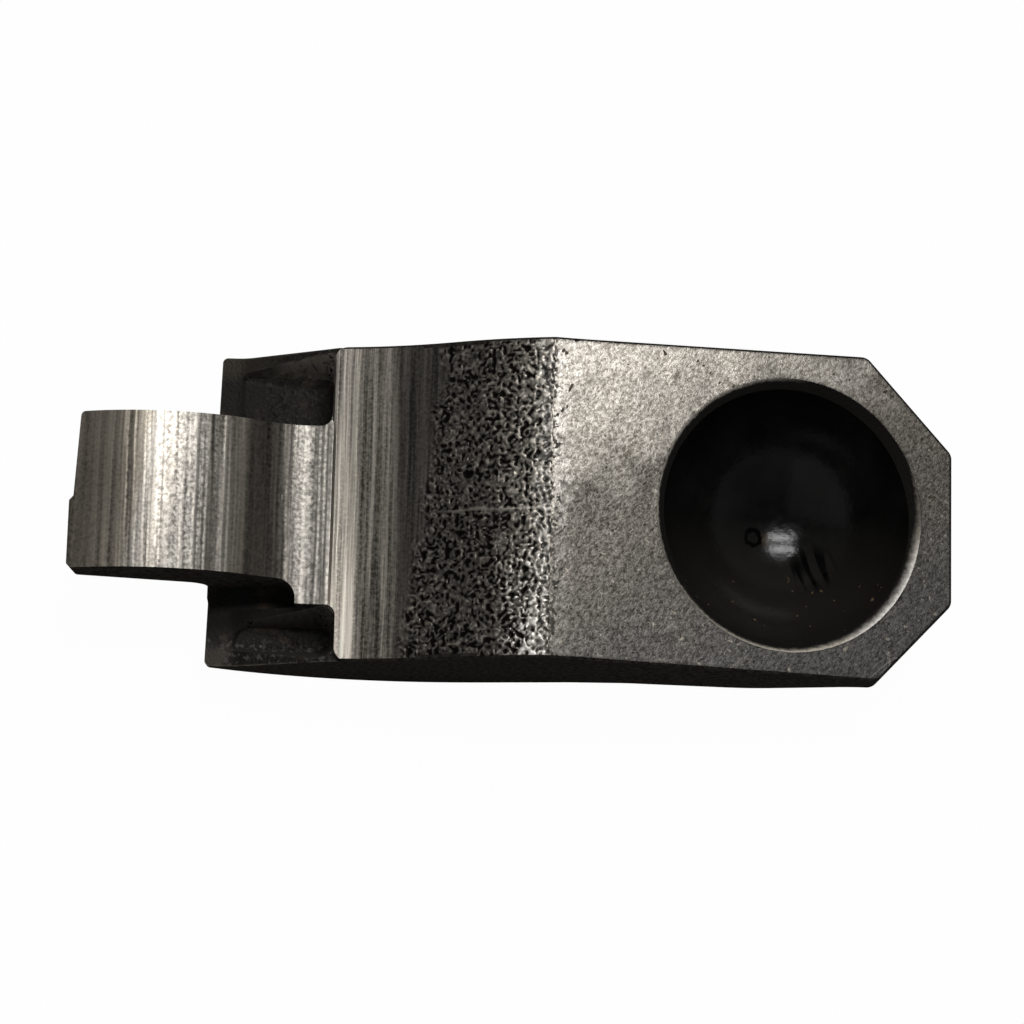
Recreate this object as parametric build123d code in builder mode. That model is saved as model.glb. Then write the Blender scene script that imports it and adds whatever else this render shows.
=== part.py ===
from build123d import *
from math import acos, asin, cos, degrees, radians, sin, sqrt, tan
import os

# Forged finger-type rocker arm, one piece, in millimetres.
# The origin is the centre of the pivot ball. +X runs from the valve pad to the socket's free end,
# +Y across the arm, and +Z up, out of the socket. The arm lies on its cam pad and on the dome
# behind the socket, which both touch the same level plane.

# Ball socket
ball_radius = 8.25
seat_clearance = 0.05
face_drop = 0.65            # the socket face lies this far below the ball's centre
face_tilt = 13.7            # degrees, the face falls towards the free end
mouth_chamfer = 0.55
dome_wall = 3.6             # steel between the seat and the lowest point of the dome
dome_radius = 11.3
dome_skirt_depth = 5.8      # the dome reaches up to this depth, into the flange
dome_blend = 1.2

# Socket end
end_reach = 10.46           # ball's centre to the free end
end_half_width = 10.5
flange_depth = 5.9          # underside of the flange round the socket
corner_cut_left = (4.8, 4.5)     # +Y corner: where the cut leaves the flank (X), meets the end (Y)
corner_cut_right = (5.64, 5.35)   # -Y corner, cut a little shorter
corner_radius = 0.8

# Arm, ramp and scoop
arm_half_width = 10.18
arm_offset = 0.15           # the arm's middle plane lies this far to +Y of the socket
flank_bend = 60.0           # radius that turns the straight flank into the flare of the socket end
flare_clearance = 1.6       # the flare starts this far in front of the ridge
ridge_reach = 15.35
ridge_blend = 0.8
ridge_slope = 11.0          # degrees, fall of the ramp just behind the ridge
ramp_end_reach = 21.8
ramp_slope = 27.0           # degrees, steepest fall, where the ramp turns into the scoop
shoulder_reach = 29.2
shoulder_skew = 0.3         # the shoulder stands this much further out on the +Y side
shoulder_slope = 7.5        # degrees, fall that the scoop still has at the shoulder
shoulder_radius = 0.9

# Cam pad and underside
cam_pad_radius = 19.0
cam_pad_reach = 24.55
underside_slope = 13.0      # degrees, the underside leaves the pad's arc along a tangent
underside_bend = 6.0        # radius of the bends in the underside
underside_depth = 9.05
underside_end_reach = 1.9
flange_start = 4.6
flank_edge_radius = 0.45
top_edge_break = 0.15        # chamfer
wing_reach = 37.25
wing_skew = 0.2             # the +Y wing ends this much short of that, the -Y wing past it
wing_corner_radius = 0.35

# Tongue with the valve pad
tongue_half_width = 5.0
tip_reach = 45.5
tip_skew = 0.27             # the +Y corner of the tip is ground back by this much
tip_land = 0.28             # the land left on the -Y side of the tip stands proud by this much
tip_height = 2.7
tip_edge_radius = 0.4
land_start = 0.4
tip_corner_radius = 0.3
valve_pad_radius = 11.0
valve_pad_reach = 40.75
valve_pad_height = 1.97
tongue_root_radius = 5.0
root_depth = 1.68
root_step = 0.2
tongue_back_slope = 16.0
tongue_back_blend = 1.6
tongue_flank_blend = 1.2

# Machined steps and forged pockets beside the tongue
wing_depth = 5.7
wing_flat = 1.7             # length of the level strip across the wing's end
wing_top_rise = 3.9         # the wing's top climbs by this much on its way to the shoulder
slot_width = 1.55           # milled strip along the tongue's -Y flank
slot_end_reach = 31.5
cutter_radius = 0.75
wing_bend = 2.0
pocket_depth = 0.7          # below the level strip
pocket_draft = 12.0         # degrees, lean of the forged walls
pocket_width_left = 3.08    # +Y pocket floor
pocket_width_right = 1.53   # -Y pocket floor, narrower beside the milled strip
pocket_outer_wall = 1.15    # pocket floor to the flank
pocket_end_wall = 0.35      # pocket floor to the shoulder
pocket_corner = 0.65
pocket_outer_corner = 0.3   # corner between the wing's end and the flank
pocket_sweep_right = 1.2    # the -Y pocket's corner between the wing's end and the tongue

# Values worked out from the sizes above
seat_radius = ball_radius + seat_clearance
rest_depth = seat_radius + dome_wall
tilt = radians(face_tilt)
inside = 2.0                # how far helper solids run past the faces they cut
arm_plane = Plane((0, arm_offset, 0))
flare_start = flare_clearance - ridge_reach


def face_height(x):
    """Height of the socket face's plane at a distance x from the ball's centre."""
    return -(face_drop + x * sin(tilt)) / cos(tilt)


def heading(angle):
    """Unit direction in the side view, in degrees anticlockwise from +X."""
    return (cos(radians(angle)), sin(radians(angle)))


# Side view: ramp and scoop, two arcs that meet at the steepest point
ridge = (-ridge_reach, face_height(-ridge_reach))
ramp_headings = (180 + ridge_slope, 180 + ramp_slope)
ramp_sines = [sin(radians(angle)) for angle in ramp_headings]
ramp_radius = (ramp_end_reach - ridge_reach) / (ramp_sines[0] - ramp_sines[1])
scoop_sine = sin(radians(180 + shoulder_slope))
scoop_radius = (shoulder_reach - ramp_end_reach) / (scoop_sine - ramp_sines[1])

# Side view: valve pad and the hollow at its root, two tangent arcs
pad_rise = valve_pad_height + root_depth
pad_turn = degrees(acos(1 - pad_rise / (valve_pad_radius + tongue_root_radius)))
pad_chord = (valve_pad_radius + tongue_root_radius) * sin(radians(pad_turn))
root_start = (pad_chord - valve_pad_reach, -root_depth)
tip_x = -(tip_reach + tip_land)
tip_fall = valve_pad_radius - sqrt(valve_pad_radius**2 - (tip_x + valve_pad_reach) ** 2)
tip_top = (tip_x, valve_pad_height - tip_fall)
tip_bottom = (tip_x, tip_top[1] - tip_height)

# Side view: cam pad, one arc whose lowest point is level with the dome
cam_pad_centre = cam_pad_radius - rest_depth
wing_end = wing_reach + wing_skew
wing_drop = sqrt(cam_pad_radius**2 - (wing_end - cam_pad_reach) ** 2)
wing_bottom = (-wing_end, cam_pad_centre - wing_drop)
pad_exit = (
    cam_pad_radius * sin(radians(underside_slope)) - cam_pad_reach,
    cam_pad_centre - cam_pad_radius * cos(radians(underside_slope)),
)
underside_run = (-underside_depth - pad_exit[1]) / tan(radians(underside_slope))
tongue_back_fall = (wing_end + tip_x) * tan(radians(tongue_back_slope))
tongue_back_end = (-wing_end, tip_bottom[1] + tongue_back_fall)

# Plan view corner radii, in the order of the outline's points
plan_radii = (
    tip_corner_radius,
    0,
    0,
    0,
    tip_corner_radius,
    tongue_flank_blend,
    wing_corner_radius,
    flank_bend,
    corner_radius,
    corner_radius,
    corner_radius,
    corner_radius,
    flank_bend,
    wing_corner_radius,
    tongue_flank_blend,
)
mouth_radius = sqrt(seat_radius**2 - face_drop**2)
dome_centre = dome_radius - rest_depth
dome_sweep = 90 - degrees(asin((dome_skirt_depth + dome_centre) / dome_radius))


def on_flank(point):
    """True where the point lies on one of the arm's two flanks."""
    return abs(point.Y - arm_offset) > arm_half_width - 0.01


def is_bottom_edge(edge):
    """True for the edges between the flanks and the underside, cam pad included."""
    points = [edge @ t for t in (0, 0.5, 1)]
    along = abs(points[0].Y - points[2].Y) < 0.5
    return along and all(on_flank(p) and p.Z < 0.01 - flange_depth for p in points)


def is_dome_root(edge):
    """True for the edges where the dome stands out of the underside."""
    reach = [(edge @ t - Vector(0, 0, dome_centre)).length for t in (0, 0.3, 0.7, 1)]
    below = (edge @ 0.5).Z < 0.01 - flange_depth
    return below and all(abs(r - dome_radius) < 0.01 for r in reach)


def is_top_edge(edge):
    """True for the edges round the socket face, and along the ramp and the scoop."""
    points = [edge @ t for t in (0, 0.25, 0.5, 0.75, 1)]
    on_face = all(abs(p.Z - face_height(p.X)) < 0.001 for p in points)
    along = abs(points[0].Y - points[-1].Y) < 0.5
    beside = all(on_flank(p) and p.Z > -underside_depth / 2 for p in points)
    behind = all(-shoulder_reach - 0.01 < p.X < -ridge_reach + ridge_blend for p in points)
    return (on_face and abs(points[2].X + ridge_reach) > ridge_blend) or (along and beside and behind)


def is_mouth_edge(edge):
    """True for the rim of the ball seat."""
    return edge.geom_type == GeomType.CIRCLE and abs(edge.radius - mouth_radius) < 0.001


# Cuts beside the tongue: a plan window, open to the flank, for each side
wing_cuts = []
sides = (
    (1, tongue_half_width, pocket_width_left, pocket_corner),
    (-1, tongue_half_width + slot_width, pocket_width_right, pocket_sweep_right),
)
for side, inner, pocket_width, tip_sweep in sides:
    shoulder_x = -shoulder_reach - side * shoulder_skew
    with BuildPart() as window:
        with BuildSketch(arm_plane.offset(-rest_depth)):
            with BuildLine():
                FilletPolyline(
                    (-wing_reach - inside, side * inner),
                    (shoulder_x, side * inner),
                    (shoulder_x, side * arm_half_width),
                    (shoulder_x + inside, side * arm_half_width),
                    (shoulder_x + inside, side * (arm_half_width + inside)),
                    (-wing_reach - inside, side * (arm_half_width + inside)),
                    radius=(0, cutter_radius, shoulder_radius, 0, 0, 0),
                    close=True,
                )
            make_face()
        extrude(amount=2 * rest_depth)
    with BuildPart() as above_wing:
        with BuildSketch(Plane.XZ):
            with BuildLine():
                FilletPolyline(
                    (-wing_reach - inside, -wing_depth),
                    (-wing_reach + wing_flat, -wing_depth),
                    (-shoulder_reach, wing_top_rise - wing_depth),
                    (-shoulder_reach + inside, wing_top_rise - wing_depth),
                    (-shoulder_reach + inside, rest_depth),
                    (-wing_reach - inside, rest_depth),
                    radius=(0, wing_bend, 0, 0, 0, 0),
                    close=True,
                )
            make_face()
        extrude(amount=2 * end_half_width, both=True)
        add(window.part, mode=Mode.INTERSECT)
    wing_cuts.append(above_wing.part)
    floor_start = -wing_reach + wing_flat
    floor_end = -shoulder_reach - pocket_end_wall
    floor_outer = arm_half_width - pocket_outer_wall
    floor_inner = floor_outer - pocket_width
    with BuildPart() as pocket:
        with BuildSketch(arm_plane.offset(-wing_depth - pocket_depth)):
            with BuildLine():
                FilletPolyline(
                    (floor_start, side * floor_inner),
                    (floor_end, side * floor_inner),
                    (floor_end, side * floor_outer),
                    (floor_start, side * floor_outer),
                    radius=(tip_sweep, pocket_corner, pocket_corner, pocket_outer_corner),
                    close=True,
                )
            make_face()
        extrude(amount=wing_depth, taper=-pocket_draft)
        add(window.part, mode=Mode.INTERSECT)
    wing_cuts.append(pocket.part)

# Milled strip along the tongue's -Y flank
with BuildPart() as slot:
    with BuildSketch(arm_plane.offset(-wing_depth)):
        with BuildLine():
            FilletPolyline(
                (-wing_reach - inside, -tongue_half_width),
                (-slot_end_reach, -tongue_half_width),
                (-slot_end_reach, -tongue_half_width - slot_width),
                (-wing_reach - inside, -tongue_half_width - slot_width),
                radius=(0, tongue_flank_blend, 0, 0),
                close=True,
            )
        make_face()
    extrude(amount=2 * rest_depth)
wing_cuts.append(slot.part)

with BuildPart() as rocker:
    # Side view, the full width of the arm
    with BuildSketch(Plane.XZ) as side_view:
        with BuildLine():
            ramp = JernArc(ridge, heading(ramp_headings[0]), ramp_radius, ramp_slope - ridge_slope)
            scoop = JernArc(
                ramp @ 1, heading(ramp_headings[1]), scoop_radius, shoulder_slope - ramp_slope
            )
            shoulder = scoop @ 1
            Polyline(shoulder, (shoulder.X - root_step, -root_depth), root_start)
            root = JernArc(root_start, heading(180), tongue_root_radius, -pad_turn)
            ThreePointArc(root @ 1, (-valve_pad_reach, valve_pad_height), tip_top)
            FilletPolyline(
                tip_top,
                tip_bottom,
                tongue_back_end,
                wing_bottom,
                radius=(tip_edge_radius, tongue_back_blend),
            )
            ThreePointArc(wing_bottom, (-cam_pad_reach, -rest_depth), pad_exit)
            FilletPolyline(
                pad_exit,
                (pad_exit[0] + underside_run, -underside_depth),
                (-underside_end_reach, -underside_depth),
                (flange_start, -flange_depth),
                (end_reach, -flange_depth),
                (end_reach, face_height(end_reach)),
                ridge,
                radius=(underside_bend, underside_bend, underside_bend, 0, 0),
            )
        make_face()
        fillet(side_view.vertices().sort_by_distance((*ridge, 0))[0], ridge_blend)
    extrude(amount=end_half_width + inside, both=True)

    # Plan view, trimmed out of the side view: tongue, wings, flanks and the cut corners
    with BuildSketch(arm_plane.offset(-rest_depth)) as plan_view:
        with BuildLine():
            FilletPolyline(
                (tip_skew - tip_reach, tongue_half_width),
                (-tip_reach, -land_start),
                (tip_x, -land_start - tip_land),
                (tip_x, tip_land - tongue_half_width),
                (-tip_reach, -tongue_half_width),
                (-wing_reach - wing_skew / 2, -tongue_half_width),
                (-wing_reach - wing_skew, -arm_half_width),
                (flare_start, -arm_half_width),
                (corner_cut_right[0], -end_half_width),
                (end_reach, -corner_cut_right[1]),
                (end_reach, corner_cut_left[1]),
                (corner_cut_left[0], end_half_width),
                (flare_start, arm_half_width),
                (wing_skew - wing_reach, arm_half_width),
                (wing_skew / 2 - wing_reach, tongue_half_width),
                radius=plan_radii,
                close=True,
            )
        make_face()
    extrude(amount=2 * rest_depth, mode=Mode.INTERSECT)
    fillet(rocker.edges().filter_by(is_bottom_edge), flank_edge_radius)
    chamfer(rocker.edges().filter_by(is_top_edge), top_edge_break)

    # Dome behind the socket
    with BuildSketch(Plane.XZ) as dome_half:
        with BuildLine():
            dome_arc = CenterArc((0, dome_centre), dome_radius, -90, dome_sweep)
            Polyline(dome_arc @ 1, (0, -dome_skirt_depth), (0, -rest_depth))
        make_face()
    revolve(axis=Axis.Z)
    fillet(rocker.edges().filter_by(is_dome_root), dome_blend)

    # Ball seat and its chamfered mouth
    Sphere(seat_radius, mode=Mode.SUBTRACT)
    chamfer(rocker.edges().filter_by(is_mouth_edge), mouth_chamfer)

    for cut in wing_cuts:
        add(cut, mode=Mode.SUBTRACT)

rocker.part.label = "rocker_arm"

os.makedirs("parts", exist_ok=True)
export_step(rocker.part, "parts/rocker_arm.step")
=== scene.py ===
import math

import bmesh
import bpy
from mathutils import Matrix, Vector, noise


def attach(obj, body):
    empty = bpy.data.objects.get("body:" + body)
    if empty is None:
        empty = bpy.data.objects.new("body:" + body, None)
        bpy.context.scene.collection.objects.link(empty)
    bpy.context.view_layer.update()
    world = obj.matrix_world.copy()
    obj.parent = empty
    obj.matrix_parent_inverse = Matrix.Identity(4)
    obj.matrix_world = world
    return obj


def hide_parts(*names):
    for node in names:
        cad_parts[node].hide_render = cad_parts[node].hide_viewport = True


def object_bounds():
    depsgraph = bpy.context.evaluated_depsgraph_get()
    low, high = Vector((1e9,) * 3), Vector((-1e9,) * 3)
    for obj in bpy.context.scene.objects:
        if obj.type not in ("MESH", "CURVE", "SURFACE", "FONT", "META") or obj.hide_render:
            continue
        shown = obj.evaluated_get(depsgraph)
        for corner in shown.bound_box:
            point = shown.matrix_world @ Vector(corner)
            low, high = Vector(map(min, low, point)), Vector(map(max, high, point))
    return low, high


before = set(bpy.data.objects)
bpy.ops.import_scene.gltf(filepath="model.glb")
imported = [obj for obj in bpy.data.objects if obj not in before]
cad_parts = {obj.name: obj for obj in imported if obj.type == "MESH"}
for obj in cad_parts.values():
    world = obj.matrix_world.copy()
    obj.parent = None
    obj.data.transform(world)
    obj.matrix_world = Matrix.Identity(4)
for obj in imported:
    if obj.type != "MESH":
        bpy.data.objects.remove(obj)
mm = 0.001                   # metres in a millimetre
noise.seed_set(7)            # the forged scale comes out the same each run
cadBox = [list(corner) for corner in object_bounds()]
print("frame loaded")

camera = {
    "tilt": 10.0,            # degrees from straight down, towards the -Y flank
    "roll": -1.5,
    "distance": 200.0,
    "aim": (-17.835, -0.31, -0.668),     # mm, the point it looks at
    "lens": 110.7,
    "sensor": 36.0,
}
lights = {                   # places and sizes in mm, powers in watts
    "aim": (-10.0, 0.0, -4.0),
    "stripSize": (98.0, 24.0),
    "stripPlaces": ((26.0, 60.0, 262.0), (26.0, 110.0, 246.0)),
    "stripPower": 0.24,
    "fillPlace": (-110.0, -110.0, 160.0),
    "fillSize": (240.0, 240.0),
    "fillPower": 0.04,
    "skyFrom": 0.15,         # height at which the sky starts to darken
    "skyTo": 0.9,
    "skyLow": 0.32,          # grey near the horizon, and straight above
    "skyTop": 0.06,
}
floor = {"size": 1.2, "gap": 0.00002, "grey": 0.82, "cameraWhite": 0.98}     # size and gap in m


def makeCamera():
    tilt = math.radians(camera["tilt"])
    roll = math.radians(camera["roll"])
    back = Vector((0, -math.sin(tilt), math.cos(tilt)))
    up = (Vector((0, 1, 0)) - back * back.y).normalized()
    right = up.cross(back)
    turnedRight = right * math.cos(roll) - up * math.sin(roll)
    turnedUp = right * math.sin(roll) + up * math.cos(roll)
    place = Vector(camera["aim"]) * mm + back * camera["distance"] * mm
    turn = Matrix((turnedRight, turnedUp, back)).transposed().to_4x4()
    data = bpy.data.cameras.new("camera")
    data.lens = camera["lens"]
    data.sensor_width = camera["sensor"]
    data.clip_start = 0.01
    obj = bpy.data.objects.new("camera", data)
    obj.matrix_world = Matrix.Translation(place) @ turn
    bpy.context.scene.collection.objects.link(obj)
    bpy.context.scene.camera = obj


def makeLamp(name, place, size, power):
    data = bpy.data.lights.new(name, "AREA")
    data.shape = "RECTANGLE"
    data.size, data.size_y = size[0] * mm, size[1] * mm
    data.energy = power
    obj = bpy.data.objects.new(name, data)
    back = (Vector(place) - Vector(lights["aim"])).normalized()
    right = (Vector((1, 0, 0)) - back * back.x).normalized()     # the long side lies along X
    turn = Matrix((right, back.cross(right), back)).transposed().to_4x4()
    obj.matrix_world = Matrix.Translation(Vector(place) * mm) @ turn
    bpy.context.scene.collection.objects.link(obj)


def makeStudio():
    for number, place in enumerate(lights["stripPlaces"]):
        makeLamp("strip%d" % number, place, lights["stripSize"], lights["stripPower"])
    makeLamp("fill", lights["fillPlace"], lights["fillSize"], lights["fillPower"])
    world = bpy.data.worlds.new("studio")
    world.use_nodes = True
    sky = world.node_tree
    height = axes(sky, addNode(sky, "ShaderNodeTexCoord").outputs["Generated"])["Z"]
    shade = remap(sky, height, lights["skyFrom"], lights["skyTo"],
                  lights["skyLow"], lights["skyTop"])
    join(sky, shade, sky.nodes["Background"].inputs["Color"])
    bpy.context.scene.world = world
    bpy.context.scene.view_settings.view_transform = "Standard"

    half = floor["size"] / 2
    low = cadBox[0][2] - floor["gap"]
    mesh = bpy.data.meshes.new("floor")
    corners = [(-half, -half, low), (half, -half, low), (half, half, low), (-half, half, low)]
    mesh.from_pydata(corners, [], [(0, 1, 2, 3)])
    obj = bpy.data.objects.new("floor", mesh)
    bpy.context.scene.collection.objects.link(obj)
    material = bpy.data.materials.new("paleFloor")
    material.use_nodes = True
    tree = material.node_tree
    tree.nodes.clear()
    out = addNode(tree, "ShaderNodeOutputMaterial")
    path = addNode(tree, "ShaderNodeLightPath")
    seen = addNode(tree, "ShaderNodeMath", operation="MAXIMUM")
    share = addNode(tree, "ShaderNodeMath", {1: floor["cameraWhite"]}, operation="MULTIPLY")
    grey = floor["grey"]
    paint = addNode(tree, "ShaderNodeBsdfDiffuse", {"Color": (grey, grey, grey, 1)})
    glow = addNode(tree, "ShaderNodeEmission", {"Color": (1, 1, 1, 1), "Strength": 1.0})
    mix = addNode(tree, "ShaderNodeMixShader")
    join(tree, path.outputs["Is Camera Ray"], seen.inputs[0])
    join(tree, path.outputs["Is Glossy Ray"], seen.inputs[1])
    join(tree, seen.outputs[0], share.inputs[0])
    join(tree, share.outputs[0], mix.inputs[0])
    join(tree, paint.outputs[0], mix.inputs[1])
    join(tree, glow.outputs[0], mix.inputs[2])
    join(tree, mix.outputs[0], out.inputs["Surface"])
    mesh.materials.append(material)


def addNode(tree, kind, values=None, **settings):
    node = tree.nodes.new(kind)
    for name, value in settings.items():
        setattr(node, name, value)
    for name, value in (values or {}).items():
        node.inputs[name].default_value = value
    return node


def join(tree, source, target):
    tree.links.new(source, target)


def newGroup(name, inputs, outputs):
    tree = bpy.data.node_groups.new(name, "ShaderNodeTree")
    for label, kind, value in inputs:
        socket = tree.interface.new_socket(label, in_out="INPUT", socket_type="NodeSocket" + kind)
        if value is not None:
            socket.default_value = value
    for label, kind in outputs:
        tree.interface.new_socket(label, in_out="OUTPUT", socket_type="NodeSocket" + kind)
    return tree, addNode(tree, "NodeGroupInput"), addNode(tree, "NodeGroupOutput")


def math2(tree, operation, a, b=None, clamp=False):
    node = addNode(tree, "ShaderNodeMath", operation=operation, use_clamp=clamp)
    for number, value in enumerate((a, b)):
        if value is None:
            continue
        if isinstance(value, (int, float)):
            node.inputs[number].default_value = value
        else:
            join(tree, value, node.inputs[number])
    return node.outputs[0]


def remap(tree, value, low, high, toLow=0.0, toHigh=1.0):
    node = addNode(tree, "ShaderNodeMapRange", {"From Min": low, "From Max": high,
                                                "To Min": toLow, "To Max": toHigh})
    join(tree, value, node.inputs["Value"])
    return node.outputs["Result"]


def noiseAt(tree, vector, scale, detail=2.0, roughness=0.5):
    node = addNode(tree, "ShaderNodeTexNoise", {"Scale": scale, "Detail": detail,
                                                "Roughness": roughness})
    join(tree, vector, node.inputs["Vector"])
    return node.outputs["Fac"]


# Noise that moves a value by up to reach, either way
def drift(tree, vector, scale, detail, reach, roughness=0.5):
    return remap(tree, noiseAt(tree, vector, scale, detail, roughness), 0.3, 0.7, -reach, reach)


def stretched(tree, vector, scale):
    node = addNode(tree, "ShaderNodeVectorMath", {1: scale}, operation="MULTIPLY")
    join(tree, vector, node.inputs[0])
    return node.outputs[0]


def axes(tree, vector):
    node = addNode(tree, "ShaderNodeSeparateXYZ")
    join(tree, vector, node.inputs[0])
    return node.outputs


def along(tree, vector, direction):
    node = addNode(tree, "ShaderNodeVectorMath", {1: direction}, operation="DOT_PRODUCT")
    join(tree, vector, node.inputs[0])
    return node.outputs["Value"]


def turnedBy(tree, vector, angle):
    node = addNode(tree, "ShaderNodeVectorRotate", {"Angle": angle}, rotation_type="Z_AXIS")
    join(tree, vector, node.inputs["Vector"])
    return node.outputs[0]


# Lines that a cutter or a wheel leaves across the arm, along Y
def makeCutterLines():
    tree, given, out = newGroup(
        "cutterLines",
        [("Vector", "Vector", None), ("Waviness", "Float", 0.1), ("Coarse", "Float", 0.6)],
        [("Lines", "Float"), ("Height", "Float"), ("Bands", "Float")],
    )
    vector = given.outputs["Vector"]
    sway = noiseAt(tree, stretched(tree, vector, (0.15, 0.12, 0.0)), 1.0, 1.0)
    shift = math2(tree, "MULTIPLY", math2(tree, "SUBTRACT", sway, 0.5), given.outputs["Waviness"])
    aside = addNode(tree, "ShaderNodeCombineXYZ")
    join(tree, shift, aside.inputs["X"])
    moved = addNode(tree, "ShaderNodeVectorMath", operation="ADD")
    join(tree, vector, moved.inputs[0])
    join(tree, aside.outputs[0], moved.inputs[1])
    wide = noiseAt(tree, stretched(tree, moved.outputs[0], (1.3, 0.03, 0.0)), 1.0, 2.0, 0.6)
    fine = noiseAt(tree, stretched(tree, moved.outputs[0], (4.2, 0.08, 0.0)), 1.0, 3.0, 0.65)
    both = addNode(tree, "ShaderNodeMix")
    join(tree, given.outputs["Coarse"], both.inputs[0])
    join(tree, fine, both.inputs[2])
    join(tree, wide, both.inputs[3])
    join(tree, remap(tree, both.outputs[0], 0.39, 0.61), out.inputs["Lines"])
    join(tree, fine, out.inputs["Height"])
    join(tree, wide, out.inputs["Bands"])
    return tree


# Even, fine grain of blasted or worn steel, with a few pits
def makeGrain():
    tree, given, out = newGroup(
        "steelGrain",
        [("Vector", "Vector", None), ("Size", "Float", 5.0)],
        [("Grain", "Float"), ("Pits", "Float"), ("Mottle", "Float")],
    )
    vector = given.outputs["Vector"]
    fine = addNode(tree, "ShaderNodeTexNoise", {"Detail": 2.0, "Roughness": 0.6})
    join(tree, vector, fine.inputs["Vector"])
    join(tree, given.outputs["Size"], fine.inputs["Scale"])
    join(tree, remap(tree, fine.outputs["Fac"], 0.36, 0.64), out.inputs["Grain"])
    dots = noiseAt(tree, vector, 2.3, 1.0)
    join(tree, remap(tree, dots, 0.69, 0.76), out.inputs["Pits"])
    cloud = noiseAt(tree, vector, 0.35, 3.0, 0.55)
    join(tree, remap(tree, cloud, 0.35, 0.65), out.inputs["Mottle"])
    return tree


# Worn, bright metal where two faces meet, and a dark line along the edge that is painted shade of
# its rounding
def makeEdgeWearAndShade():
    tree, given, out = newGroup(
        "edgeWearAndShade",
        [("Vector", "Vector", None), ("Break", "Float", 0.5), ("Reach", "Float", 0.22)],
        [("Wear", "Float"), ("EdgeShade", "Float")],
    )
    soft = addNode(tree, "ShaderNodeBevel", samples=6)
    join(tree, math2(tree, "MULTIPLY", given.outputs["Reach"], mm), soft.inputs["Radius"])
    flat = addNode(tree, "ShaderNodeNewGeometry")
    dot = addNode(tree, "ShaderNodeVectorMath", operation="DOT_PRODUCT")
    join(tree, soft.outputs[0], dot.inputs[0])
    join(tree, flat.outputs["Normal"], dot.inputs[1])
    edge = remap(tree, dot.outputs["Value"], 0.995, 0.86)
    patch = noiseAt(tree, given.outputs["Vector"], 0.9, 3.0, 0.6)
    keep = math2(tree, "MULTIPLY", remap(tree, patch, 0.38, 0.6), given.outputs["Break"])
    join(tree, math2(tree, "MULTIPLY", edge, keep, clamp=True), out.inputs["Wear"])
    join(tree, remap(tree, dot.outputs["Value"], 0.98, 0.93), out.inputs["EdgeShade"])
    return tree


makeCamera()
makeStudio()
print("camera, lights and floor made")
cutterLines = makeCutterLines()
steelGrain = makeGrain()
edgeWearAndShade = makeEdgeWearAndShade()
print("shared effects made")


def startMaterial(name, **constants):
    material = bpy.data.materials.new(name)
    material.use_nodes = True
    tree = material.node_tree
    shader = tree.nodes["Principled BSDF"]
    for label, value in constants.items():
        shader.inputs[label].default_value = value
    coords = addNode(tree, "ShaderNodeTexCoord")
    scaled = addNode(tree, "ShaderNodeVectorMath", {"Scale": 1000.0}, operation="SCALE")
    join(tree, coords.outputs["Object"], scaled.inputs[0])
    return material, tree, shader, scaled.outputs[0]


def useGroup(tree, group, vector, values=None):
    node = addNode(tree, "ShaderNodeGroup", node_tree=group)
    for label, value in (values or {}).items():
        node.inputs[label].default_value = value
    join(tree, vector, node.inputs["Vector"])
    return node


def blendColour(tree, amount, a, b):
    node = addNode(tree, "ShaderNodeMix", data_type="RGBA")
    for number, value in ((0, amount), (6, a), (7, b)):
        if isinstance(value, (int, float, tuple)):
            node.inputs[number].default_value = value
        else:
            join(tree, value, node.inputs[number])
    return node.outputs[2]


def grey(level, warm=1.0):
    return (level * (1 + 0.09 * warm), level, level * (1 - 0.13 * warm), 1)


def distanceFrom(tree, vector, point):
    node = addNode(tree, "ShaderNodeVectorMath", {1: point}, operation="DISTANCE")
    join(tree, vector, node.inputs[0])
    return node.outputs["Value"]


def bumpFrom(tree, shader, height, distance, strength=1.0):
    node = addNode(tree, "ShaderNodeBump", {"Distance": distance * mm, "Strength": strength})
    join(tree, height, node.inputs["Height"])
    join(tree, node.outputs[0], shader.inputs["Normal"])


forging = {                  # mm, measured from the ball's centre
    "faceTilt": 13.7,        # degrees, fall of the socket face
    "faceDrop": 0.65,        # the face lies this far below the ball's centre
    "seatRadius": 8.3,
    "ridge": -15.35,
    "middle": 0.15,          # Y of the middle line
    "halfWidth": 10.25,
    "across": (-10.3, 10.7),
    "sharpAngle": 32.0,      # degrees, edges bent more than this stay crisp
}
zones = {                    # mm, where each finish starts and ends
    "seatSkin": 0.06,        # how far a facet may lie off the true surface
    "faceSkin": 0.03,
    "faceFrom": -15.55,
    "mouthRadius": 9.4,
    "mouthFloor": -6.0,
    "sideFrom": 9.9,
    "sideFloor": -4.5,
    "sideEnd": -29.2,
    "endFrom": 2.0,
    "scoopEnd": -29.56,
    "scoopFloor": -1.66,
    "tongueFloor": -2.45,
    "tongue": (-6.45, 5.17),
    "rootEnd": -30.4,
    "rootFloor": -1.9,
    "root": (-7.25, 5.95),
    "camPad": (-37.6, -19.9),
    "camTop": -7.2,
    "facesUp": 0.2,          # Z of the normal from here on, and for the next two
    "liesFlat": 0.93,
    "facesDown": -0.35,
}
slots = ["socketFace", "mouthChamfer", "ballSeat", "scaleAndScoop", "groundPad", "wingScale",
         "flank", "underside", "camPad"]


def facePlane():
    tilt = math.radians(forging["faceTilt"])
    return Vector((math.sin(tilt), 0, math.cos(tilt)))


faceNormal = facePlane()


def faceHeight(point):
    return point.dot(faceNormal) + forging["faceDrop"]     # mm above the socket face


def within(value, reach):
    return reach[0] < value < reach[1]


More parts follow.
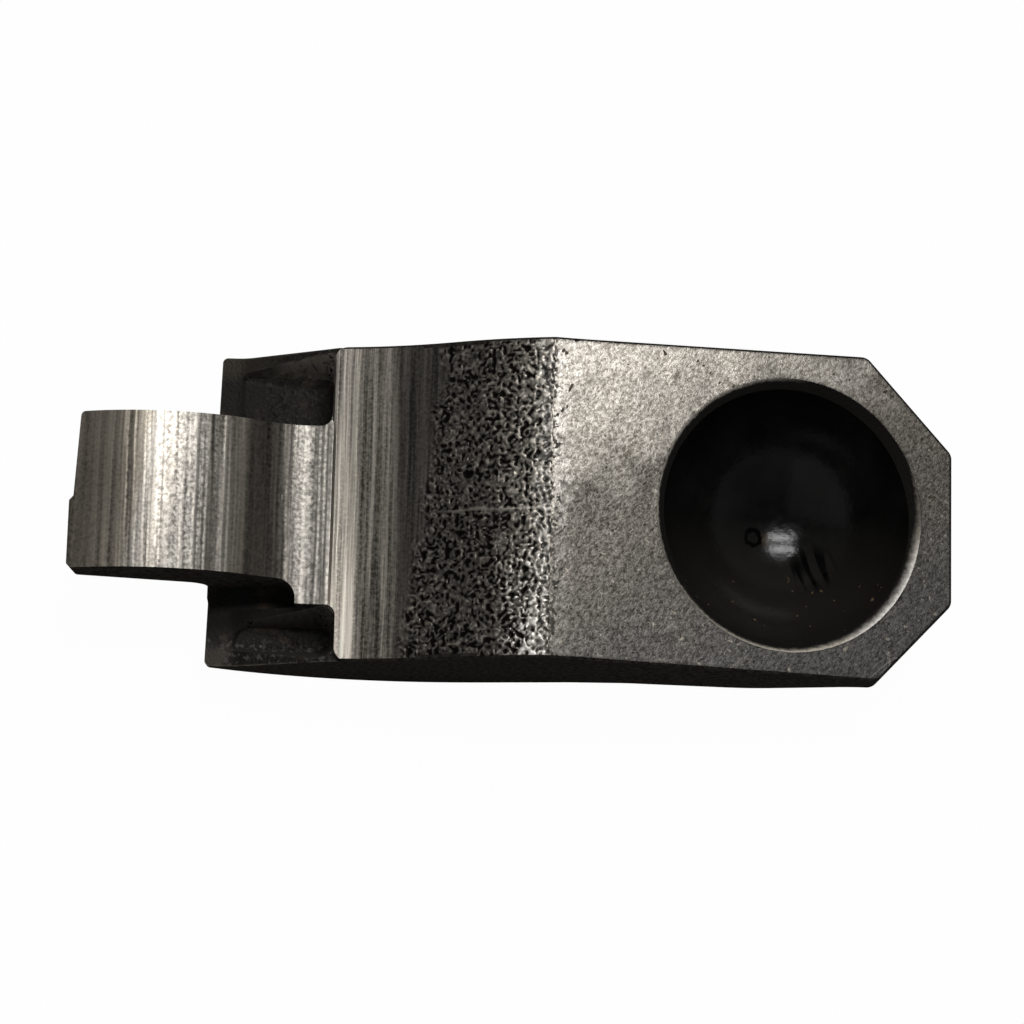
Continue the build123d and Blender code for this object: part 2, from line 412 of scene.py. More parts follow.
def zoneOf(centre, normal):
    x, y, z = centre
    height = faceHeight(centre)
    faceOn = normal.dot(faceNormal) > 0.9
    facesUp = normal.z > zones["facesUp"]
    if centre.length < forging["seatRadius"] + zones["seatSkin"] and z < 0:
        return "ballSeat"
    if abs(height) < zones["faceSkin"] and faceOn and x > zones["faceFrom"]:
        return "socketFace"
    nearMouth = math.hypot(x, y) < zones["mouthRadius"] and z > zones["mouthFloor"]
    if nearMouth and facesUp and height < -0.01:
        return "mouthChamfer"
    rim = abs(y - forging["middle"]) > zones["sideFrom"] or x > zones["endFrom"]
    leans = facesUp and normal.z < zones["liesFlat"]
    if rim and leans and x > zones["sideEnd"] and z > zones["sideFloor"]:
        return "flank"
    if facesUp:
        onTongue = z > zones["tongueFloor"] and within(y, zones["tongue"])
        onRoot = x > zones["rootEnd"] and z > zones["rootFloor"] and within(y, zones["root"])
        if x > forging["ridge"] + 0.1:
            return "socketFace"
        if x > zones["scoopEnd"] and z > zones["scoopFloor"]:
            return "scaleAndScoop"
        return "groundPad" if onTongue or onRoot else "wingScale"
    if normal.z < zones["facesDown"]:
        return "camPad" if within(x, zones["camPad"]) and z < zones["camTop"] else "underside"
    return "flank"


def cutAlong(bm, faces, axis, places):
    if not places or not faces:
        return faces
    middle = len(places) // 2
    place = places[middle]
    direction = Vector([1.0 if n == axis else 0.0 for n in range(3)])
    lower, upper, near = [], [], []
    for f in faces:
        reach = [v.co[axis] for v in f.verts]
        if max(reach) <= place:
            lower.append(f)
        elif min(reach) >= place:
            upper.append(f)
        else:
            near.append(f)
    if near:
        geometry = set(near)
        for f in near:
            geometry.update(f.edges)
            geometry.update(f.verts)
        cut = bmesh.ops.bisect_plane(bm, geom=list(geometry), dist=1e-8,
                                     plane_co=direction * place, plane_no=direction)
        for piece in cut["geom"]:
            if isinstance(piece, bmesh.types.BMFace):
                (lower if piece.calc_center_median()[axis] < place else upper).append(piece)
    return (cutAlong(bm, lower, axis, places[:middle])
            + cutAlong(bm, upper, axis, places[middle + 1:]))


def cutGrid(bm, zone, xRange, yRange, xStep, yStep):
    faces = [f for f in bm.faces if f[zone["layer"]] == zone["number"]]
    for axis, reach, step in ((0, xRange, xStep), (1, yRange, yStep)):
        count = int(round((reach[1] - reach[0]) / step))
        faces = cutAlong(bm, faces, axis, [(reach[0] + n * step) * mm for n in range(count + 1)])


def fade(value, low, high):
    t = min(max((value - low) / (high - low), 0.0), 1.0)
    return t * t * (3 - 2 * t)


crust = {                    # mm, the forged scale as real relief
    "grid": 0.11,            # mesh pitch on the ramp
    "wingCoarser": 1.2,
    "depth": 0.075,
    "wingDepth": 0.06,
    "level": 0.35,           # relief of this value stays where it is
    "ramp": (-29.4, -15.0),
    "wings": (-37.6, -28.8),
    "stop": -15.3,           # it fades out just before the ridge
    "edge": -23.6,           # the milled scoop gives way to it here, along a slanting line
    "edgeSlant": 0.115,
    "seamPlace": -0.62,      # faint raised line along the ramp
    "seamHalf": 0.15,
    "seamRange": (-22.5, -21.5),
    "seamHeight": 0.75,
    "stripEnd": -34.6,       # the +Y wing is smooth beyond this
    "patchPlace": (-30.4, -10.4),        # the -Y wing is rough inside an arc round this
    "patchSize": (4.6, 3.9),
}
# Shallow lines of the cutter on the ground pad, and faint unevenness of the socket face, in mm
toolMarks = {"grid": 0.16, "gridAcross": 0.5, "depth": 0.012, "pitch": 3.2,
             "pad": (-45.8, -29.0), "padWidth": (-7.0, 5.4)}
faceDents = {"grid": 0.32, "depth": 0.012, "pitch": 0.5, "face": (-15.4, 10.5)}


def scaleShare(x, y):
    sway = 0.9 * noise.noise(Vector((3.0, y * 0.45, 0.0)))
    edge = crust["edge"] + crust["edgeSlant"] * y + sway
    return fade(x, edge - 0.5, edge + 0.7)


def wingShare(x, y):
    if y > 0:
        edge = crust["stripEnd"] + 0.6 * noise.noise(Vector((1.0, y * 0.5, 0.0)))
        return fade(x, edge - 0.3, edge + 0.3)
    reach = math.hypot((x - crust["patchPlace"][0]) / crust["patchSize"][0],
                       (y - crust["patchPlace"][1]) / crust["patchSize"][1])
    return fade(1.0 - reach, -0.04, 0.04)


# Crusted scale: worm-like ridges between dark pits
def scaleRelief(x, y, z):
    point = Vector((x, y, z))
    bent = point + 0.12 * noise.noise_vector(point * 1.6)
    ridges = 1.0 - abs(noise.noise(bent * 3.2)) * 3.2
    lumps = noise.noise(bent * 5.0 + Vector((7.0, 3.0, 1.0)))
    grains = noise.noise(point * 8.0 + Vector((1.0, 9.0, 4.0)))
    return 0.62 * ridges + 0.5 * lumps + 0.28 * grains


def cutterLine(x, y, seed):
    return toolMarks["depth"] * noise.noise(Vector((x * toolMarks["pitch"], y * 0.05, seed)))


def fromSide(y, width):      # nothing moves at the flank, all of it further in
    return fade(forging["halfWidth"] - abs(y - forging["middle"]), 0.05, width)


# Relief value at a vertex, and how far the vertex moves along its normal in mm
def rampPush(x, y, z):
    share = scaleShare(x, y)
    inside = fromSide(y, 0.5) * fade(crust["stop"] - x, 0.0, 0.4)
    height = scaleRelief(x, y, z)
    aside = abs(y - crust["seamPlace"] - 0.04 * math.sin(2.1 * x))
    seam = fade(crust["seamHalf"] - aside, 0.0, 0.12) * fade(x, *crust["seamRange"])
    height += (crust["seamHeight"] - height) * 0.8 * seam
    fromShoulder = fade(x - crust["ramp"][0], 0.1, 0.5)
    push = share * inside * crust["depth"] * (height - crust["level"])
    push += (1 - share) * fromShoulder * inside * cutterLine(x, y, 5.0)
    return height, push


def wingPush(x, y, z):
    rough = wingShare(x, y)
    height = scaleRelief(x, y, z)
    push = fromSide(y, 0.4) * rough * crust["wingDepth"] * (height - crust["level"])
    return height * rough, push


def padPush(x, y, z):
    return 0.0, cutterLine(x, y, 2.0)


def facePush(x, y, z):
    pitch = faceDents["pitch"]
    dent = noise.noise(Vector((x * pitch, y * pitch, 8.0))) - 0.2
    return 0.0, faceDents["depth"] * dent


pushes = {"scaleAndScoop": rampPush, "wingScale": wingPush, "groundPad": padPush,
          "socketFace": facePush}


def sortFaces(bm, layer):
    for f in bm.faces:
        f[layer] = slots.index(zoneOf(f.calc_center_median() / mm, f.normal))


def cutFinely(bm, layer):
    grid, across = crust["grid"], forging["across"]
    wing = grid * crust["wingCoarser"]
    for name, xRange, yRange, xStep, yStep in (
            ("scaleAndScoop", crust["ramp"], across, grid, grid),
            ("wingScale", crust["wings"], across, wing, wing),
            ("groundPad", toolMarks["pad"], toolMarks["padWidth"], toolMarks["grid"],
             toolMarks["gridAcross"]),
            ("socketFace", faceDents["face"], across, faceDents["grid"], faceDents["grid"])):
        zone = {"layer": layer, "number": slots.index(name)}
        cutGrid(bm, zone, xRange, yRange, xStep, yStep)


def pushVertices(bm, layer):
    relief = bm.verts.layers.float.new("relief")
    moves = []
    for v in bm.verts:
        names = {slots[f[layer]] for f in v.link_faces}
        push = pushes.get(names.pop()) if len(names) == 1 else None
        if push:
            v[relief], depth = push(*(v.co / mm))
            moves.append((v, depth))
    for v, depth in moves:
        v.co += v.normal * depth * mm


def buildForging():
    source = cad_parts["rocker_arm"]
    bm = bmesh.new()
    bm.from_mesh(source.data)
    bmesh.ops.remove_doubles(bm, verts=bm.verts, dist=1e-6)
    bm.normal_update()
    layer = bm.faces.layers.int.new("zone")
    sortFaces(bm, layer)
    cutFinely(bm, layer)
    sortFaces(bm, layer)
    for f in bm.faces:
        f.material_index = f[layer]
        f.smooth = True
    bm.normal_update()
    sharp = math.radians(forging["sharpAngle"])
    for e in bm.edges:
        e.smooth = len(e.link_faces) == 2 and e.calc_face_angle(0) < sharp
    pushVertices(bm, layer)
    bmesh.ops.triangulate(bm, faces=bm.faces)
    mesh = bpy.data.meshes.new("rockerForging")
    bm.to_mesh(mesh)
    bm.free()
    for name in ("custom_normal", "zone"):
        if name in mesh.attributes:
            mesh.attributes.remove(mesh.attributes[name])
    for name in slots:
        mesh.materials.append(materials[name])
    obj = bpy.data.objects.new("rocker_forging", mesh)
    bpy.context.scene.collection.objects.link(obj)
    print("forging built, %d triangles" % len(mesh.polygons))
    return obj


# A finish is given as two greys, the darker one first, each with its level and its warmth
def tones(tree, amount, pair):
    return blendColour(tree, amount, grey(*pair[0]), grey(*pair[1]))


ridgeBand = {"range": (-16.0, -14.6), "soft": 0.45, "tones": ((0.3, 0.8), (0.8, 0.6)),
             "ridgeLineShade": 0.2}


# Pale, uneven band along the ridge, a painted highlight, with painted shade right at the ridge
# line to damp the highlight its rounding gets
def ridgeSheen(tree, vector, speck):
    x = axes(tree, vector)["X"]
    moved = math2(tree, "ADD", x, drift(tree, vector, 1.6, 3.0, 0.9, 0.6))
    soft = ridgeBand["soft"]
    first, last = ridgeBand["range"]
    start = remap(tree, moved, first - soft, first + soft)
    end = remap(tree, moved, last + soft, last - soft)
    away = math2(tree, "ABSOLUTE", math2(tree, "SUBTRACT", x, forging["ridge"]))
    colour = blendColour(tree, remap(tree, away, 0.0, 0.3), grey(ridgeBand["ridgeLineShade"]),
                         tones(tree, speck, ridgeBand["tones"]))
    return math2(tree, "MULTIPLY", start, end), colour


socketFace = {
    "grainTurn": 0.8,
    "grainStretch": (1.0, 0.7, 1.0),
    "grainSize": 4.6,
    "fineSize": 8.5,
    "slope": (-0.36, 0.9, 0.0),          # painted light: the face is painted lighter in this direction and darker the other way
    "paintedShade": ((0.026, 0.3), (0.138, 0.3)),
    "plain": ((0.03, 1.6), (0.2, 1.0)),
    "plainRange": (-10.0, 3.0),          # mm along the slope
    "brightened": ((0.16, 1.6), (0.66, 0.7)),
    "brightenedRange": (5.0, 11.6),
    "creepRange": (-14.85, -15.2),       # X up to which the crust creeps over the ridge
    "creep": 0.035,
    "scratch": 0.25,
    "fleck": (0.3, 1.3),
    "pit": (0.04, 2.0),
    "smears": ((-10.5, 3.5, 2.6, 0.5), (-11.3, 5.6, 1.6, 0.4), (-7.6, 8.3, 1.2, 0.35)),    # mm
    "smearTurn": -1.1,
    "smear": (0.06, 2.0),
    "roughness": (0.52, 0.42),
}


def smearMask(tree, vector, speck, smear):
    x, y, length, width = smear
    away = addNode(tree, "ShaderNodeVectorMath", {1: (x, y, 0.0)}, operation="SUBTRACT")
    join(tree, vector, away.inputs[0])
    lie = turnedBy(tree, away.outputs[0], socketFace["smearTurn"])
    size = addNode(tree, "ShaderNodeVectorMath", operation="LENGTH")
    join(tree, stretched(tree, lie, (2.0 / length, 2.0 / width, 0.0)), size.inputs[0])
    mask = remap(tree, size.outputs["Value"], 1.5, 0.3, 0.0, 0.75)
    return math2(tree, "MULTIPLY", mask, remap(tree, speck, 0.9, 0.2, 0.3, 1.0))


def faceMaterial():
    material, tree, shader, vector = startMaterial("blastedFaceSteel", Metallic=1.0)
    turned = turnedBy(tree, vector, socketFace["grainTurn"])
    grain = useGroup(tree, steelGrain, stretched(tree, turned, socketFace["grainStretch"]),
                     {"Size": socketFace["grainSize"]})
    fine = useGroup(tree, steelGrain, vector, {"Size": socketFace["fineSize"]})
    wearAndPaintedLight = useGroup(tree, edgeWearAndShade, vector, {"Break": 0.5, "Reach": 0.4})
    blur = remap(tree, fine.outputs["Mottle"], 0, 1, -1.6, 1.6)
    place = math2(tree, "ADD", along(tree, vector, socketFace["slope"]), blur)
    speck = math2(tree, "ADD", math2(tree, "MULTIPLY", grain.outputs["Grain"], 0.6),
                  math2(tree, "MULTIPLY", fine.outputs["Grain"], 0.4))
    # Painted light and shade: the face's tone runs from dark at the lower right to light at the
    # upper left, in place of how the light falls across it
    paintedShade, plain, brightened = [tones(tree, speck, socketFace[name])
                          for name in ("paintedShade", "plain", "brightened")]
    base = blendColour(tree, remap(tree, place, *socketFace["plainRange"]), paintedShade, plain)
    base = blendColour(tree, remap(tree, place, *socketFace["brightenedRange"]), base, brightened)

    # painted highlight: the pale band along the ridge, stronger towards +Y
    band, wearAndSheen = ridgeSheen(tree, vector, speck)
    at = axes(tree, vector)
    band = math2(tree, "MULTIPLY", band, remap(tree, at["Y"], -3.0, 3.0, 0.15, 0.75))
    base = blendColour(tree, band, base, wearAndSheen)
    creep = math2(tree, "ADD", at["X"], drift(tree, vector, 1.3, 2.0, 0.5))
    creep = math2(tree, "MULTIPLY", remap(tree, creep, *socketFace["creepRange"]),
                  remap(tree, noiseAt(tree, vector, 3.4, 1.0), 0.52, 0.46))
    base = blendColour(tree, creep, base, grey(socketFace["creep"]))

    scratch = noiseAt(tree, stretched(tree, turned, (5.0, 0.3, 0.3)), 1.0, 2.0, 0.5)
    scratch = math2(tree, "MULTIPLY", remap(tree, scratch, 0.63, 0.78), fine.outputs["Mottle"])
    base = blendColour(tree, scratch, base, grey(socketFace["scratch"]))
    flecks = math2(tree, "MULTIPLY", fine.outputs["Pits"], 0.7)
    base = blendColour(tree, flecks, base, grey(*socketFace["fleck"]))
    for smear in socketFace["smears"]:
        mask = smearMask(tree, vector, speck, smear)
        base = blendColour(tree, mask, base, grey(*socketFace["smear"]))
    base = blendColour(tree, grain.outputs["Pits"], base, grey(*socketFace["pit"]))
    base = blendColour(tree, wearAndPaintedLight.outputs["Wear"], base, grey(0.4, 0.5))
    # painted shade: a dark line along the face's outer edges, where their rounding turns dark
    base = blendColour(tree, wearAndPaintedLight.outputs["EdgeShade"], base, grey(0.02))
    join(tree, base, shader.inputs["Base Color"])
    join(tree, remap(tree, speck, 0, 1, *socketFace["roughness"]), shader.inputs["Roughness"])
    bumpFrom(tree, shader, speck, 0.015, 0.6)
    return material


mouthRing = {
    "litSide": (0.41, -0.91, 0.0),          # painted light: the ring is painted bright on this side, where light falls on it
    "brightest": (0.82, -0.57, 0.0),
    "width": 0.55,
    "ragged": 0.09,
    "dim": (0.28, 1.2),
    "mid": (0.6, 1.2),
    "best": (1.0, 0.5),
    "wearAndSheen": (0.15, 1.2),
    "black": 0.006,
    "rim": 0.55,
    "roughness": (0.6, 0.4),
}


def chamferMaterial():
    material, tree, shader, vector = startMaterial("turnedChamfer", Metallic=0.2)
    shader.inputs["Specular IOR Level"].default_value = 0.1
    grain = useGroup(tree, steelGrain, vector, {"Size": 5.0})
    noisy = noiseAt(tree, vector, 3.2, 2.0)
    around = along(tree, vector, mouthRing["litSide"])
    best = along(tree, vector, mouthRing["brightest"])
    at = axes(tree, vector)

    # 0 at the inner edge of the ring and 1 where it meets the face
    level = remap(tree, along(tree, vector, tuple(faceNormal)),
                  -forging["faceDrop"] - mouthRing["width"], -forging["faceDrop"])
    ragged = mouthRing["ragged"]
    level = math2(tree, "ADD", level, remap(tree, noisy, 0.25, 0.75, -ragged, ragged))
    start = math2(tree, "MAXIMUM", remap(tree, at["X"], -1.0, 5.0, 0.5, 0.12),
                  remap(tree, around, 0.0, 4.5, 0.9, 0.1))
    bright = math2(tree, "DIVIDE", math2(tree, "SUBTRACT", level, start),
                   math2(tree, "SUBTRACT", 0.9, start), clamp=True)
    bright = math2(tree, "MULTIPLY", bright, bright)
    reach = math2(tree, "ADD", around, remap(tree, noisy, 0.2, 0.8, -0.6, 0.6))
    bright = math2(tree, "MULTIPLY", bright, remap(tree, reach, -0.8, 2.4))
    bright = math2(tree, "MULTIPLY", bright, remap(tree, at["Y"], 0.3, -2.0, 0.25, 1.0))

    # Painted light and shade: the ring gets bright tones and a painted highlight towards the lower
    # right, and black painted shade on the side facing away from the light
    ring = tones(tree, remap(tree, best, -1.0, 7.0), (mouthRing["dim"], mouthRing["mid"]))
    ring = blendColour(tree, remap(tree, best, 7.2, 8.3), ring, grey(*mouthRing["best"]))
    wearAndSheen = remap(tree, grain.outputs["Grain"], 0.0, 1.0, 0.35, 0.0)
    ring = blendColour(tree, wearAndSheen, ring, grey(*mouthRing["wearAndSheen"]))
    upper = remap(tree, around, 2.0, -3.0)
    rim = math2(tree, "MULTIPLY", remap(tree, level, 0.7, 1.05, 0.0, 0.7), upper)
    rim = math2(tree, "MULTIPLY", rim, remap(tree, at["X"], 1.0, -4.0))
    dark = blendColour(tree, rim, grey(mouthRing["black"]), grey(mouthRing["rim"]))
    join(tree, blendColour(tree, bright, dark, ring), shader.inputs["Base Color"])
    join(tree, remap(tree, bright, 0, 1, *mouthRing["roughness"]), shader.inputs["Roughness"])
    bumpFrom(tree, shader, grain.outputs["Grain"], 0.02)
    return material


seat = {
    "soot": ((0.003, 0.3), (0.006, 0.3)),
    "lower": (0.013, 1.0),
    "dust": (0.13, 0.09, 0.05, 1),
    "dustRange": (-2.5, -4.5),             # Y over which the dust sets in
    "smudgePlace": (-1.1, -0.45, -8.2),    # mm
    "smudge": (0.05, 2.5),
    "dentPlace": (-1.95, -0.3, -8.06),     # a small round mark
    "dentRadius": 0.5,
    "scuffPlace": (1.9, -2.4, -7.7),       # short scuffs that fan out below the middle
    "scuffTurn": -0.35,
    "roughness": (0.13, 0.21),
}


def seatMarks(tree, vector):
    away = math2(tree, "ADD", distanceFrom(tree, vector, seat["dentPlace"]),
                 drift(tree, vector, 2.5, 1.0, 0.08))
    dent = math2(tree, "ABSOLUTE", math2(tree, "SUBTRACT", away, seat["dentRadius"]))
    dent = remap(tree, dent, 0.08, 0.2, 1.0, 0.0)
    fan = turnedBy(tree, vector, seat["scuffTurn"])
    scuff = noiseAt(tree, stretched(tree, fan, (1.7, 0.22, 0.0)), 1.0, 1.0)
    near = remap(tree, distanceFrom(tree, vector, seat["scuffPlace"]), 1.9, 1.0)
    scuff = math2(tree, "MULTIPLY", remap(tree, scuff, 0.51, 0.6), near)
    return math2(tree, "MAXIMUM", dent, scuff)


def seatMaterial():
    material, tree, shader, vector = startMaterial("blackenedSeat", Metallic=0.0)
    shader.inputs["Specular IOR Level"].default_value = 0.17
    grain = useGroup(tree, steelGrain, vector, {"Size": 9.0})
    y = axes(tree, vector)["Y"]
    # Painted light: the seat is painted lighter towards -Y, where the key light falls on the far
    # side of the bowl
    base = blendColour(tree, remap(tree, y, 1.0, -5.0),
                       tones(tree, grain.outputs["Mottle"], seat["soot"]), grey(*seat["lower"]))
    dust = remap(tree, noiseAt(tree, vector, 1.9, 1.0), 0.725, 0.76)
    dust = math2(tree, "MULTIPLY", dust, remap(tree, y, *seat["dustRange"]))
    base = blendColour(tree, dust, base, seat["dust"])
    smudge = remap(tree, distanceFrom(tree, vector, seat["smudgePlace"]), 0.6, 0.15)
    smudge = math2(tree, "MULTIPLY", smudge, grain.outputs["Grain"])
    base = blendColour(tree, smudge, base, grey(*seat["smudge"]))
    marks = seatMarks(tree, vector)
    join(tree, blendColour(tree, marks, base, grey(0.0)), shader.inputs["Base Color"])
    rough = remap(tree, noiseAt(tree, vector, 1.4, 3.0), 0.3, 0.7, *seat["roughness"])
    rough = math2(tree, "MULTIPLY", rough, remap(tree, marks, 0, 1, 1.0, 0.45))
    join(tree, rough, shader.inputs["Roughness"])
    bumpFrom(tree, shader, noiseAt(tree, vector, 2.4, 2.0), 0.012)
    return material


scoop = {
    "edge": -23.5,                       # X where the milled part ends
    "shoulder": ((0.45, 1.0), (1.0, 1.0)),
    "shadow": (0.02, 1.6),
    "middle": ((0.045, 1.4), (0.33, 1.0)),
    "middleRange": (-28.4, -27.4),
    "deep": ((0.03, 1.0), (0.13, 1.0)),
    "deepRange": (-25.6, -24.9),
    "slant": 0.03,
}
scale = {
    "ridgeRange": (-19.0, -15.6),        # X over which the scale gets paler
    "pit": 0.006,
    "body": ((0.1, 1.0), (0.25, 1.0)),
    "tips": ((0.32, 1.0), (0.75, 1.0)),
    "glintSpecks": (1.0, 0.4),
    "roughness": 0.5,
}


# Light at the shoulder and lighter still towards -Y, both painted light, dark towards the crust
def milledColour(tree, at, lines, grain):
    light = tones(tree, remap(tree, at["Y"], 5.0, -7.0), scoop["shoulder"])
    # painted light: brighter towards -Y
    brightened = remap(tree, at["Y"], 8.0, -9.0, -0.05, 0.4)
    brightened = math2(tree, "ADD", lines, brightened, clamp=True)
    milled = blendColour(tree, brightened, grey(*scoop["shadow"]), light)
    milled = blendColour(tree, remap(tree, grain, 0.4, 1, 0.0, 0.4), milled, light)
    run = math2(tree, "ADD", math2(tree, "MULTIPLY", at["Y"], scoop["slant"]), at["X"])
    brushed = math2(tree, "ADD", lines, remap(tree, grain, 0, 1, -0.2, 0.2), clamp=True)
    for name in ("middle", "deep"):
        milled = blendColour(tree, remap(tree, run, *scoop[name + "Range"]), milled,
                             tones(tree, brushed, scoop[name]))
    return milled


# Dark crust, paler near the ridge and palest there towards -Y, where white specks are painted
# glints; the pale ridge band on it is a painted highlight
def crustColour(tree, vector, at, wander, relief, grain):
    ridge = remap(tree, math2(tree, "ADD", at["X"], wander), *scale["ridgeRange"])
    # painted glints: white specks near the ridge towards -Y
    glintSpecks = math2(tree, "MULTIPLY", remap(tree, at["X"], -19.0, -17.4),
                   remap(tree, at["Y"], -1.0, -8.0))
    tips = blendColour(tree, glintSpecks, tones(tree, ridge, scale["tips"]), grey(*scale["glintSpecks"]))
    colour = blendColour(tree, remap(tree, relief, -0.1, 0.35), grey(scale["pit"]),
                         tones(tree, ridge, scale["body"]))
    height = math2(tree, "ADD", relief, math2(tree, "MULTIPLY", glintSpecks, 0.18))
    colour = blendColour(tree, remap(tree, height, 0.42, 0.8), colour, tips)
    band, pale = ridgeSheen(tree, vector, grain)
    band = math2(tree, "MULTIPLY", band, remap(tree, relief, 0.0, 0.45, 0.25, 0.9))
    return blendColour(tree, band, colour, pale)


def scoopMaterial():
    material, tree, shader, vector = startMaterial("scaleAndScoopSteel", Metallic=1.0)
    lines = useGroup(tree, cutterLines, vector, {"Waviness": 0.35, "Coarse": 0.5})
    grain = useGroup(tree, steelGrain, vector, {"Size": 5.0}).outputs["Grain"]
    relief = addNode(tree, "ShaderNodeAttribute", attribute_name="relief").outputs["Fac"]
    at = axes(tree, vector)
    wander = remap(tree, noiseAt(tree, vector, 0.45, 3.0), 0.2, 0.8, -1.0, 1.0)
    slant = math2(tree, "MULTIPLY", at["Y"], crust["edgeSlant"])
    edge = math2(tree, "ADD", math2(tree, "ADD", slant, wander), scoop["edge"])
    share = remap(tree, math2(tree, "SUBTRACT", at["X"], edge), -0.4, 0.5)
    milled = milledColour(tree, at, lines.outputs["Lines"], grain)
    forged = crustColour(tree, vector, at, wander, relief, grain)
    join(tree, blendColour(tree, share, milled, forged), shader.inputs["Base Color"])
    shader.inputs["Roughness"].default_value = scale["roughness"]
    milledShare = math2(tree, "SUBTRACT", 1.0, share)
    bumpFrom(tree, shader, math2(tree, "MULTIPLY", lines.outputs["Height"], milledShare), 0.025)
    return material


groundPad = {
    # tone of the ground steel along the pad: mm from the ball's centre, grey level, warmth; the
    # brighter band near the crown is partly a worn band and partly a painted highlight
    "wearAndPaintedLight": ((-45.8, 0.2, 1.4), (-43.2, 0.25, 1.4), (-41.6, 0.34, 1.3), (-40.9, 0.42, 0.8),
             (-39.8, 0.3, 1.0), (-38.9, 0.165, 0.8), (-37.2, 0.14, 0.8), (-36.9, 0.1, 1.0),
             (-36.2, 0.24, 0.9), (-34.9, 0.16, 1.3), (-34.4, 0.1, 1.1), (-32.1, 0.11, 1.0),
             (-31.6, 0.13, 0.8), (-28.9, 0.14, 0.8)),
    "slant": 0.15,
    "slantRange": (-37.5, -39.5),
    "roughness": (0.46, 0.38),
}


def padTone(tree, vector, at):
    slant = math2(tree, "MULTIPLY", at["Y"], groundPad["slant"])
    slant = math2(tree, "MULTIPLY", slant, remap(tree, at["X"], *groundPad["slantRange"]))
    run = math2(tree, "SUBTRACT", at["X"], slant)
    run = math2(tree, "ADD", run, drift(tree, vector, 1.2, 2.0, 0.12))
    first, last = groundPad["wearAndPaintedLight"][0][0], groundPad["wearAndPaintedLight"][-1][0]
    tone = addNode(tree, "ShaderNodeValToRGB")
    join(tree, remap(tree, run, first, last), tone.inputs[0])
    ramp = tone.color_ramp
    for number, (where, level, warm) in enumerate(groundPad["wearAndPaintedLight"]):
        share = (where - first) / (last - first)
        stop = ramp.elements[number] if number < 2 else ramp.elements.new(share)
        stop.position = share
        stop.color = grey(level, warm)
    return tone.outputs[0]


def padMaterial():
    material, tree, shader, vector = startMaterial("groundPadSteel", Metallic=1.0)
    lines = useGroup(tree, cutterLines, vector, {"Waviness": 0.3, "Coarse": 0.8})
    grain = useGroup(tree, steelGrain, vector, {"Size": 4.5}).outputs["Grain"]
    at = axes(tree, vector)
    streak = math2(tree, "ADD", remap(tree, lines.outputs["Lines"], 0, 1, 0.5, 1.4),
                   remap(tree, grain, 0, 1, -0.3, 0.3))
    brightened = math2(tree, "MULTIPLY", remap(tree, at["Y"], 1.0, 3.5),
                  remap(tree, at["X"], -36.9, -37.3))
    streak = math2(tree, "ADD", streak, math2(tree, "MULTIPLY", brightened, 0.2))
    shade = addNode(tree, "ShaderNodeVectorMath", operation="SCALE")
    join(tree, padTone(tree, vector, at), shade.inputs[0])
    join(tree, streak, shade.inputs["Scale"])
    join(tree, shade.outputs[0], shader.inputs["Base Color"])
    join(tree, remap(tree, grain, 0, 1, *groundPad["roughness"]), shader.inputs["Roughness"])
    bumpFrom(tree, shader, lines.outputs["Bands"], 0.09)
    return material


wings = {
    "floor": (0.01, 1.0),
    "slope": (0.06, 1.0),
    "wall": ((0.09, 1.0), (0.5, 1.0)),   # walls that face -Y, in the -Y and the +Y wing, painted lighter as painted light in their shade
    "scale": (0.035, 1.2),
    "rust": (0.05, 0.035, 0.025, 1),
    "rustShare": 0.6,
    "crumbs": (0.07, 0.8),
    "corner": (0.04, 1.4),
    "rimPatch": (0.03, 2.0),
    "edge": (0.12, 1.6),
    "roughness": 0.6,
}


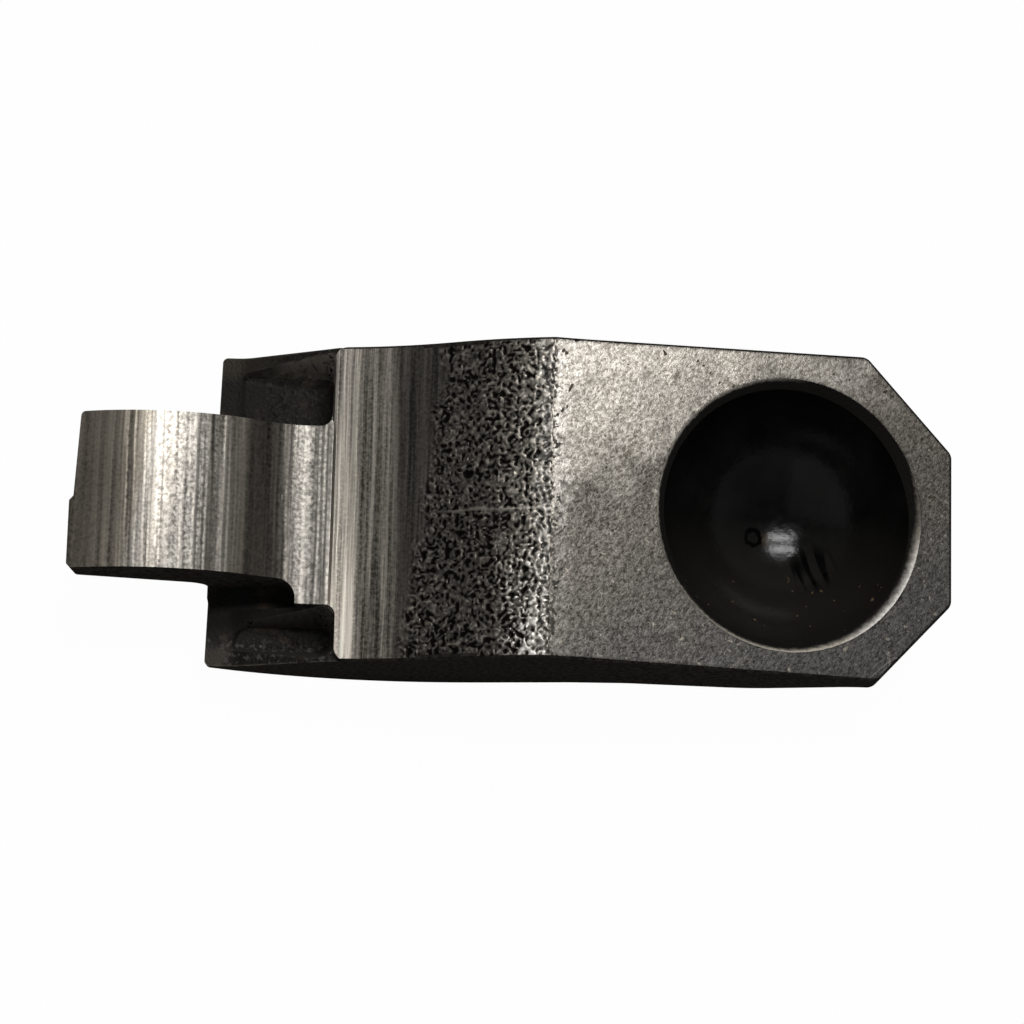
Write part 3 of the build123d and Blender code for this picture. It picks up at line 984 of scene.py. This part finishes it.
def wingMaterial():
    material, tree, shader, vector = startMaterial("forgedWing", Metallic=0.6)
    shader.inputs["Specular IOR Level"].default_value = 0.3
    grain = useGroup(tree, steelGrain, vector, {"Size": 5.0})
    relief = addNode(tree, "ShaderNodeAttribute", attribute_name="relief")
    wearAndPaintedLight = useGroup(tree, edgeWearAndShade, vector, {"Break": 0.9})
    up = axes(tree, addNode(tree, "ShaderNodeNewGeometry").outputs["Normal"])
    at = axes(tree, vector)
    plain = tones(tree, remap(tree, up["Z"], 0.6, 0.3), (wings["floor"], wings["slope"]))
    # painted light: walls that face -Y are painted lighter, lifting their shade
    wall = tones(tree, remap(tree, at["Y"], -1.0, 1.0), wings["wall"])
    plain = blendColour(tree, remap(tree, up["Y"], -0.6, -0.9), plain, wall)
    base = blendColour(tree, remap(tree, relief.outputs["Fac"], 0.3, 0.9), plain,
                       grey(*wings["scale"]))
    rust = remap(tree, noiseAt(tree, vector, 0.6, 3.0), 0.55, 0.7)
    rust = math2(tree, "MULTIPLY", rust, wings["rustShare"])
    base = blendColour(tree, rust, base, wings["rust"])
    crumbs = math2(tree, "MULTIPLY", remap(tree, noiseAt(tree, vector, 3.1, 1.0), 0.54, 0.66),
                   remap(tree, at["Y"], -8.0, -8.7))
    corner = math2(tree, "MULTIPLY", remap(tree, at["Y"], -8.2, -9.2),
                   remap(tree, at["X"], -35.4, -36.2))
    corner = math2(tree, "MULTIPLY", corner,
                   remap(tree, noiseAt(tree, vector, 0.9, 2.0), 0.35, 0.6))
    # a lighter brown patch on top of the +Y wing's rim
    rimPatch = math2(tree, "MULTIPLY", remap(tree, at["Y"], 8.6, 9.5),
                   remap(tree, at["X"], -32.5, -34.5, 0.0, 0.8))
    outer = remap(tree, math2(tree, "ABSOLUTE", at["Y"]), 9.3, 9.8)
    edge = math2(tree, "MULTIPLY", wearAndPaintedLight.outputs["Wear"], outer)
    for mask, name in ((crumbs, "crumbs"), (corner, "corner"), (rimPatch, "rimPatch"), (edge, "edge")):
        base = blendColour(tree, mask, base, grey(*wings[name]))
    join(tree, base, shader.inputs["Base Color"])
    shader.inputs["Roughness"].default_value = wings["roughness"]
    bumpFrom(tree, shader, grain.outputs["Grain"], 0.02)
    return material


# The flanks are near black, partly the forged scale's own colour and partly painted shade
flanks = {"dark": 0.01, "light": 0.026, "roughness": (0.8, 0.7)}
undersides = {"dark": 0.03, "light": 0.08, "roughness": (0.65, 0.55)}


def forgedMaterial(name, look):
    material, tree, shader, vector = startMaterial(name, Metallic=0.0)
    shader.inputs["Specular IOR Level"].default_value = 0.0
    grain = useGroup(tree, steelGrain, vector, {"Size": 3.0}).outputs["Grain"]
    base = blendColour(tree, grain, grey(look["dark"]), grey(look["light"]))
    join(tree, base, shader.inputs["Base Color"])
    join(tree, remap(tree, grain, 0, 1, *look["roughness"]), shader.inputs["Roughness"])
    bumpFrom(tree, shader, grain, 0.02)
    return material


materials = {
    "socketFace": faceMaterial(),
    "mouthChamfer": chamferMaterial(),
    "ballSeat": seatMaterial(),
    "scaleAndScoop": scoopMaterial(),
    "groundPad": padMaterial(),
    "wingScale": wingMaterial(),
    "flank": forgedMaterial("blackFlank", flanks),
    "underside": forgedMaterial("forgedUnderside", undersides),
    "camPad": padMaterial(),
}
print("steels made")

rocker = buildForging()
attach(rocker, "root")
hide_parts("rocker_arm")
